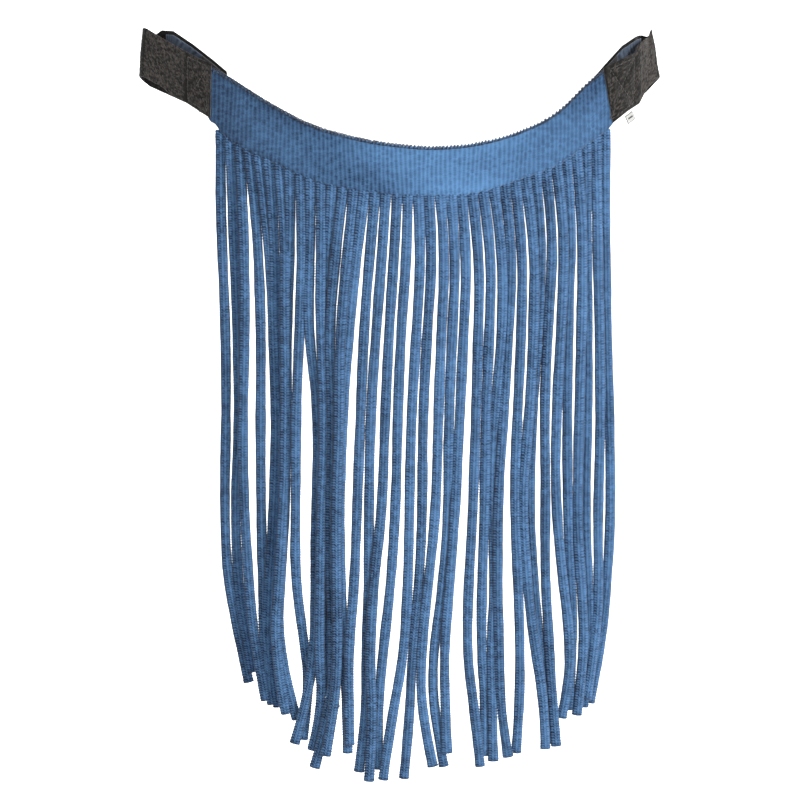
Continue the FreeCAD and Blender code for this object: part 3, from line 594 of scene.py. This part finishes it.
# ---------------------------------------------------------------- threads
def thread_tube(line, radius, sides=7):
    """Rings of points round a short thread, rounded off at both ends."""
    line = np.asarray(line)
    ahead = np.gradient(line, axis=0)
    ahead /= np.linalg.norm(ahead, axis=1)[:, None]
    helper = np.array([0.0, 0.0, 1.0]) if abs(ahead[0][2]) < 0.8 else np.array([1.0, 0.0, 0.0])
    one = np.cross(ahead, helper)
    one /= np.linalg.norm(one, axis=1)[:, None]
    two = np.cross(ahead, one)
    angle = 2 * math.pi * np.arange(sides) / sides
    taper = np.ones(len(line)) * radius
    taper[0] = taper[-1] = radius * 0.45
    ring = one[:, None, :] * np.cos(angle)[None, :, None] + two[:, None, :] * np.sin(angle)[None, :, None]
    return (line[:, None, :] + ring * taper[:, None, None]).reshape(-1, 3)


def thread_piece(name, lines, radius, material, tone=0.55, sides=7):
    """Many short threads in one piece."""
    points, faces, tones = [], [], []
    chance = random.Random(name)
    for line in lines:
        tube = thread_tube(line, radius * chance.uniform(0.88, 1.12), sides)
        start = len(points)
        points.extend(tube.tolist())
        faces.extend([[start + k for k in face] for face in tube_faces(len(line), sides)])
        tones.extend([tone + chance.uniform(-0.18, 0.18)] * len(tube))
    return add_piece(name, points, faces, tones, material)


def overlock_lines():
    """Loops of thread over the band's top edge, one for each stitch."""
    chance = random.Random(11)
    lines = []
    reach = band_start + 0.002
    while reach < band_end - 0.001:
        lean = chance.uniform(0.0006, 0.0013)
        drop = EDGE * chance.uniform(0.85, 1.25)
        line = []
        for step in range(11):
            turn = math.pi * (step / 10)
            offset = (KNIT - BACKING) / 2 + (KNIT + BACKING) / 2 * 1.12 * math.cos(turn)
            rise = math.sin(turn) ** 0.5
            place = reach + lean * (step / 10 - 0.5) * 2
            x, y = station(place, offset)
            z = float(top_line(x)) - drop * (1 - rise) - 0.0002
            line.append((x, y, z))
        lines.append(line)
        lines.append([(x, y, z) for x, y, z in edge_run(reach, lean)])
        reach += chance.uniform(0.0023, 0.0031)
    return lines


def edge_run(reach, lean):
    """The thread that runs along the edge from one loop to the next."""
    run = []
    for step in range(6):
        place = reach + 0.0027 * step / 5
        x, y = station(place, KNIT + 0.0003)
        run.append((x, y, float(top_line(x)) - EDGE - 0.0003 + lean * 0.4 * math.sin(math.pi * step / 5)))
    return run


overlock = thread_piece("top_edge_threads", overlock_lines(), 0.00055, OVERLOCK, 0.35)
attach(overlock, "band")
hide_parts("top_edge_overlock")


# ---------------------------------------------------------------- straps
STRAPS = {
    "left": {
        "side": -1,
        "root": (0.1520, 0.1515),  # at the top and at the bottom
        "front_top": [(0.1490, -0.0028), (0.1530, -0.0008), (0.1680, 0.0068), (0.1890, 0.0188),
                      (0.2030, 0.0276), (0.2060, 0.0280)],
        "front_bottom": [(0.1490, -0.0440), (0.1538, -0.0412), (0.1665, -0.0330), (0.1755, -0.0268),
                         (0.1808, -0.0258), (0.1875, -0.0190), (0.2060, -0.0086)],
        "reach_shift": [(0.0, 0.0), (0.5, -0.0008), (1.0, -0.0026)],
        # Painted light and shade along the front ply: lighter towards the fold, with a dark stripe of painted
        # shade just past the box's outer seam.
        "shade": [(0.150, 0.27), (0.168, 0.30), (0.1705, 0.12), (0.173, 0.33), (0.206, 0.36)],
        "flap_top": [(0.1385, -0.0080), (0.1500, 0.0018), (0.1650, 0.0136), (0.1800, 0.0238),
                     (0.1890, 0.0245), (0.1960, 0.0195), (0.2070, 0.0255)],
        "flap_bottom": [(0.1385, -0.0465), (0.1700, -0.0305), (0.2070, -0.0135)],
        "box": (0.1545, 0.1690, 0.003, 0.004),
        "bend_from": 0.9,
    },
    "right": {
        "side": 1,
        "root": (0.1500, 0.1425),
        "front_top": [(0.1405, -0.0055), (0.1440, -0.0038), (0.1570, 0.0025), (0.1657, 0.0067),
                      (0.1680, 0.0120), (0.1732, 0.0170), (0.1768, 0.0194), (0.1792, 0.0270)],
        "front_bottom": [(0.1405, -0.0490), (0.1492, -0.0465), (0.1612, -0.0368), (0.1702, -0.0308),
                         (0.1725, -0.0262), (0.1762, -0.0188), (0.1857, -0.0105)],
        "reach_shift": [(0.0, 0.0018), (0.3, -0.0002), (0.65, -0.0017), (1.0, -0.0047)],
        # Painted light and shade along the front ply: painted shade on the inner part and painted light on
        # the outer part towards the fold.
        "shade": [(0.140, 0.22), (0.166, 0.23), (0.175, 0.37), (0.186, 0.37)],
        "flap_top": [(0.1340, -0.0132), (0.1448, -0.0008), (0.1568, 0.0124), (0.1673, 0.0196),
                     (0.1725, 0.0220), (0.1765, 0.0205), (0.1900, 0.0225)],
        "flap_bottom": [(0.1340, -0.0450), (0.1505, -0.0450), (0.1700, -0.0270), (0.1900, -0.0085)],
        "box": (0.1480, 0.1660, 0.003, 0.004),
        "bend_from": -0.1,        # this front ply's root leans towards the flap
    },
}


def speckle(i, j, seed):
    """A fixed random value for each cell of a grid."""
    return (math.sin(i * 127.1 + j * 311.7 + seed * 74.7) * 43758.5453) % 1.0


def edge_at(points, x):
    return float(np.interp(abs(x), [p[0] for p in points], [p[1] for p in points]))


STRAP_MIDDLE = KNIT + STRAP / 2 + 0.0002


def front_offset(data, side, reach, x, t):
    """The middle of the strap's front ply at one place: puckered at the box and slightly wavy."""
    end = path_length(side)
    wave = 0.0004 * math.sin(reach * 210 + 3 * t) * min(1, max(0, (end - reach) / 0.01))
    return STRAP_MIDDLE + pucker(data, x, t) + wave


def pucker(data, x, t):
    """How the sewn box pulls the strap in along its seams, and lets it puff between them."""
    inner, outer = data["box"][0], data["box"][1]
    u = (abs(x) - inner) / (outer - inner)
    if not -0.25 < u < 1.25:
        return 0.0
    v = (t - 0.08) / 0.84
    seams = [abs(u), abs(1 - u), abs(u - v) * 0.7, abs(1 - u - v) * 0.7]
    near = min(seams) * (outer - inner)
    return -0.00075 * math.exp(-(near / 0.0016) ** 2) + 0.00045


def strap_piece(word):
    data = STRAPS[word]
    side = data["side"]
    end = path_length(side)
    middle_front, middle_flap = STRAP_MIDDLE, FLAP_FRONT - STRAP / 2
    radius = (middle_front - middle_flap) / 2
    centre_x, centre_y, heading = plan_point(side, end, (middle_front + middle_flap) / 2)
    ahead = np.array([side * math.cos(heading), math.sin(heading)])
    out = np.array([side * math.sin(heading), -math.cos(heading)])
    root = reach_at(side, data["root"][0], middle_front)
    lean = reach_at(side, data["root"][0], middle_front) - reach_at(side, data["root"][1], middle_front)
    tail = reach_at(side, abs(data["flap_top"][0][0]) + 0.001, middle_flap)

    places = []                   # (kind, reach or turn)
    places += [("front", r) for r in np.arange(root, end, 0.0007)]
    places += [("fold", a) for a in np.linspace(0, math.pi, 22)]
    places += [("flap", r) for r in np.arange(end - 0.0007, tail, -0.0007)]
    share = sheet_rows(0.040, 52, STRAP / 2)
    seed = 3 if side < 0 else 5
    points, tones = [], []
    run = 0.0
    def stretch(t, share):
        """How much further out the fold lies at one height, easing in along the ply."""
        shift = float(np.interp(t, *zip(*data["reach_shift"])))
        return np.array([side * shift * share * share * (3 - 2 * share), 0.0])

    for kind, value in places:
        run += 0.0007
        for face in (1, -1):
            order = share if face > 0 else share[::-1]
            for t in order:
                depth = min(t, 1 - t) * 0.040 / (STRAP / 2)
                bulge = math.sqrt(max(0.06, 1 - (1 - min(depth, 1)) ** 2))
                tuft = int(run / 0.0014)
                speck = speckle(tuft, int(t * 34 + 0.5 * speckle(tuft, 7, 1)), seed) - 0.5
                fine = speckle(int(run / 0.0007), int(t * 110), seed + 1) - 0.5
                half = face * STRAP / 2 * bulge + 0.00022 * speck + 0.00016 * fine
                if kind == "fold":
                    r = radius + half
                    spot = np.array([centre_x, centre_y]) + out * (r * math.cos(value))
                    spot = spot + ahead * (r * math.sin(value)) + stretch(t, 1.0)
                    mix = value / math.pi
                else:
                    mix = 0.0 if kind == "front" else 1.0
                    reach, offset = value, middle_flap - half
                    if kind == "front":
                        reach -= lean * t * (1 - min(1, (value - root) / 0.012))
                        x, _, _ = plan_point(side, reach, middle_front)
                        offset = half + (front_offset(data, side, reach, x, t) if face > 0 else middle_front)
                    px, py, _ = plan_point(side, reach, offset)
                    spot = np.array([px, py]) + stretch(t, max(0.0, 1 - (end - reach) / 0.014))
                low, high = (edge_at(data["front_" + edge], spot[0]) * (1 - mix)
                             + edge_at(data["flap_" + edge], spot[0]) * mix for edge in ("bottom", "top"))
                points.append((spot[0], spot[1], low + t * (high - low)))
                # Painted shade: the fold and the flap behind the band take a much darker tone than the front
                # ply of the same tape.
                shade = float(np.interp(abs(spot[0]), *zip(*data["shade"]))) if kind == "front" else 0.06
                # Painted shade in the creases where the box's seams pull the front ply in.
                if kind == "front" and face > 0:
                    shade += 130 * min(0.0, pucker(data, spot[0], t))
                tones.append(shade + 0.36 * speck + 0.50 * fine)
    around = 2 * len(share)
    piece = add_piece("strap_%s_tape" % word, points, tube_faces(len(places), around), tones,
                      STRAP_PILE)
    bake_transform(piece)
    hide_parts("strap_front_" + word, "strap_fold_" + word, "strap_flap_" + word)
    return piece


for word in ("left", "right"):
    strap_piece(word)


def patch_piece(word, kind, first, last, inner, outer, material, body):
    """The hook or pile half of a closure, inside the flap's outline."""
    data = STRAPS[word]
    side = data["side"]
    name = "%s_patch_%s" % (kind, word)
    low_x, high_x = reach_at(side, first), reach_at(side, last)
    reaches = np.arange(low_x, high_x, 0.0008)
    piece = wall_piece(
        name + "_tape", side * reaches,
        lambda x: edge_at(data["flap_top"], x) - 0.0030, lambda x: edge_at(data["flap_bottom"], x) + 0.0022,
        inner, outer, 34, material,
        lambda r, t, z, face: 0.00012 * math.sin(r * 4200) * math.sin(z * 4200),
        lambda r, t, z, face: 0.5 + 0.25 * math.sin(r * 4200) * math.sin(z * 4200))
    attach(piece, body)
    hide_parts(name)
    return piece


patch_piece("left", "hook", 0.1415, 0.1880, FLAP_FRONT, HOOK_FRONT, HOOK_TAPE, "flap_left")
patch_piece("right", "hook", 0.1370, 0.1745, FLAP_FRONT, HOOK_FRONT, HOOK_TAPE, "flap_right")
patch_piece("left", "pile", 0.1385, 0.1600, PILE_BACK, -BACKING, PATCH_PILE, "band")
patch_piece("right", "pile", 0.1345, 0.1550, PILE_BACK, -BACKING, PATCH_PILE, "band")


# ---------------------------------------------------------------- box stitching
def stitch_lines(word):
    """Short stitches along the sewn box and its cross."""
    data = STRAPS[word]
    side = data["side"]
    inner, outer = data["box"][0], data["box"][1]
    corners = [(0, 0.08), (1, 0.08), (1, 0.92), (0, 0.92)]
    seams = [(0, 1), (1, 2), (2, 3), (3, 0), (0, 2), (1, 3)]
    lines = []
    for a, b in seams:
        (ua, va), (ub, vb) = corners[a], corners[b]
        wide, tall = (ub - ua) * (outer - inner), (vb - va) * 0.040
        count = max(3, int(math.hypot(wide, tall) / 0.0030))
        for k in range(count):
            line = []
            for step in range(5):
                share = (k + 0.12 + 0.76 * step / 4) / count
                x = inner + (ua + (ub - ua) * share) * (outer - inner)
                t = va + (vb - va) * share
                low, high = edge_at(data["front_bottom"], x), edge_at(data["front_top"], x)
                lift = 0.00025 * math.sin(math.pi * step / 4)
                reach = reach_at(side, x, KNIT + STRAP)
                surface = front_offset(data, side, reach, x, t) + STRAP / 2
                px, py, _ = plan_point(side, reach, surface + lift)
                line.append((px, py, low + t * (high - low)))
            lines.append(line)
    return lines


for word in ("left", "right"):
    stitches = thread_piece("box_stitch_%s_thread" % word, stitch_lines(word), 0.00032, THREAD, 0.6)
    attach(stitches, "band")
    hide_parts("box_stitch_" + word)


# ---------------------------------------------------------------- care label
def care_label():
    joint = next(j for j in frame["joints"] if j["child"] == "label")
    pivot, along = np.array(joint["pos_m"]), np.array(joint["axis"])
    thick = np.array([along[1], -along[0], 0.0])
    thick /= np.linalg.norm(thick)
    wide, tall, half = 0.0092, 0.0068, 0.00022
    down_way = np.cross(along, thick)
    down_way *= -math.copysign(1.0, down_way[2])
    points, tones = [], []
    across, down = 16, 22
    for i in range(down + 1):
        for face in (1, -1):
            order = range(across + 1) if face > 0 else range(across, -1, -1)
            for j in order:
                u, v = j / across - 0.5, i / down
                curl = 0.0006 * math.sin(2.6 * v + 1.2 * u) * v + 0.0004 * v * v * math.sin(5 * u)
                place = pivot + along * (u * wide) + down_way * (v * tall) + thick * (curl + face * half)
                points.append(place)
                border = min(abs(u + 0.5), abs(0.5 - u), v, 1 - v) < 0.06
                tones.append(0.72 - 0.60 * border - 0.60 * (0.40 < v < 0.58 and abs(u) < 0.3))
    piece = add_piece("care_label_cloth", points, tube_faces(down + 1, 2 * (across + 1)), tones,
                      LABEL_CLOTH)
    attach(piece, "label")
    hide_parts("care_label")


care_label()


# ---------------------------------------------------------------- studio
FLOOR_GLOW = 0.62
WALL_GLOW = 1.3                   # the lamps don't reach the far wall, so it glows by itself


def plain_white(name, glow):
    white = bpy.data.materials.new(name)
    white.use_nodes = True
    shader = white.node_tree.nodes["Principled BSDF"]
    shader.inputs["Base Color"].default_value = (0.92, 0.92, 0.92, 1)
    shader.inputs["Roughness"].default_value = 0.9
    shader.inputs["Emission Color"].default_value = (1, 1, 1, 1)
    shader.inputs["Emission Strength"].default_value = glow
    return white


def studio():
    """A pale floor below the hanging fringe and a far wall, which leaves every side of it open to view."""
    floor_z, near_y, lit_y, wall_y, half, high, bend = -0.75, -14.0, 1.6, 14.0, 34.0, 30.0, 5.0
    curve = [(near_y, floor_z), (lit_y, floor_z)]
    for k in range(13):
        a = math.pi / 2 * k / 12
        curve.append((wall_y - bend + bend * math.sin(a), floor_z + bend - bend * math.cos(a)))
    curve.append((wall_y, high))
    points = [(x, y, z) for y, z in curve for x in (-half, half)]
    faces = [(2 * i, 2 * i + 1, 2 * i + 3, 2 * i + 2) for i in range(len(curve) - 1)]
    mesh = bpy.data.meshes.new("studio_sweep")
    mesh.from_pydata(points, [], faces)
    mesh.materials.append(plain_white("studio_floor", FLOOR_GLOW))
    mesh.materials.append(plain_white("studio_wall", WALL_GLOW))
    for face in mesh.polygons:
        face.material_index = 0 if face.index == 0 else 1
    sweep = bpy.data.objects.new("studio_sweep", mesh)
    bpy.context.scene.collection.objects.link(sweep)


def area_light(name, place, target, size, power, colour=(1, 1, 1)):
    lamp = bpy.data.lights.new(name, "AREA")
    lamp.shape = "DISK"
    lamp.size = size
    lamp.energy = power
    lamp.color = colour
    holder = bpy.data.objects.new(name, lamp)
    holder.location = place
    way = np.array(target) - np.array(place)
    holder.rotation_euler = Vector(way).to_track_quat("-Z", "Y").to_euler()
    bpy.context.scene.collection.objects.link(holder)


studio()
area_light("key", (2.0, -2.0, 0.9), (0, 0, -0.25), 0.6, 78)
area_light("fill", (-1.8, -2.2, 0.2), (0, 0, -0.25), 1.6, 4)
area_light("wall", (0.0, -0.6, 2.6), (0, 1.5, -0.2), 2.0, 60)

world = bpy.data.worlds.new("studio_world")
world.use_nodes = True
world.node_tree.nodes["Background"].inputs["Color"].default_value = (1, 1, 1, 1)
world.node_tree.nodes["Background"].inputs["Strength"].default_value = 0.12
bpy.context.scene.world = world
bpy.context.scene.view_settings.view_transform = "Standard"

# ---------------------------------------------------------------- camera
VIEW_WIDTH = 0.600
CAMERA_DISTANCE = 12.0
SENSOR = 0.036
camera_data = bpy.data.cameras.new("camera")
camera_data.sensor_width = SENSOR * 1000
camera_data.lens = SENSOR * 1000 * CAMERA_DISTANCE / VIEW_WIDTH
camera = bpy.data.objects.new("camera", camera_data)
camera.location = (-0.00975, -CAMERA_DISTANCE, -0.2535)
camera.rotation_euler = (math.pi / 2, 0, 0)
bpy.context.scene.collection.objects.link(camera)
bpy.context.scene.camera = camera
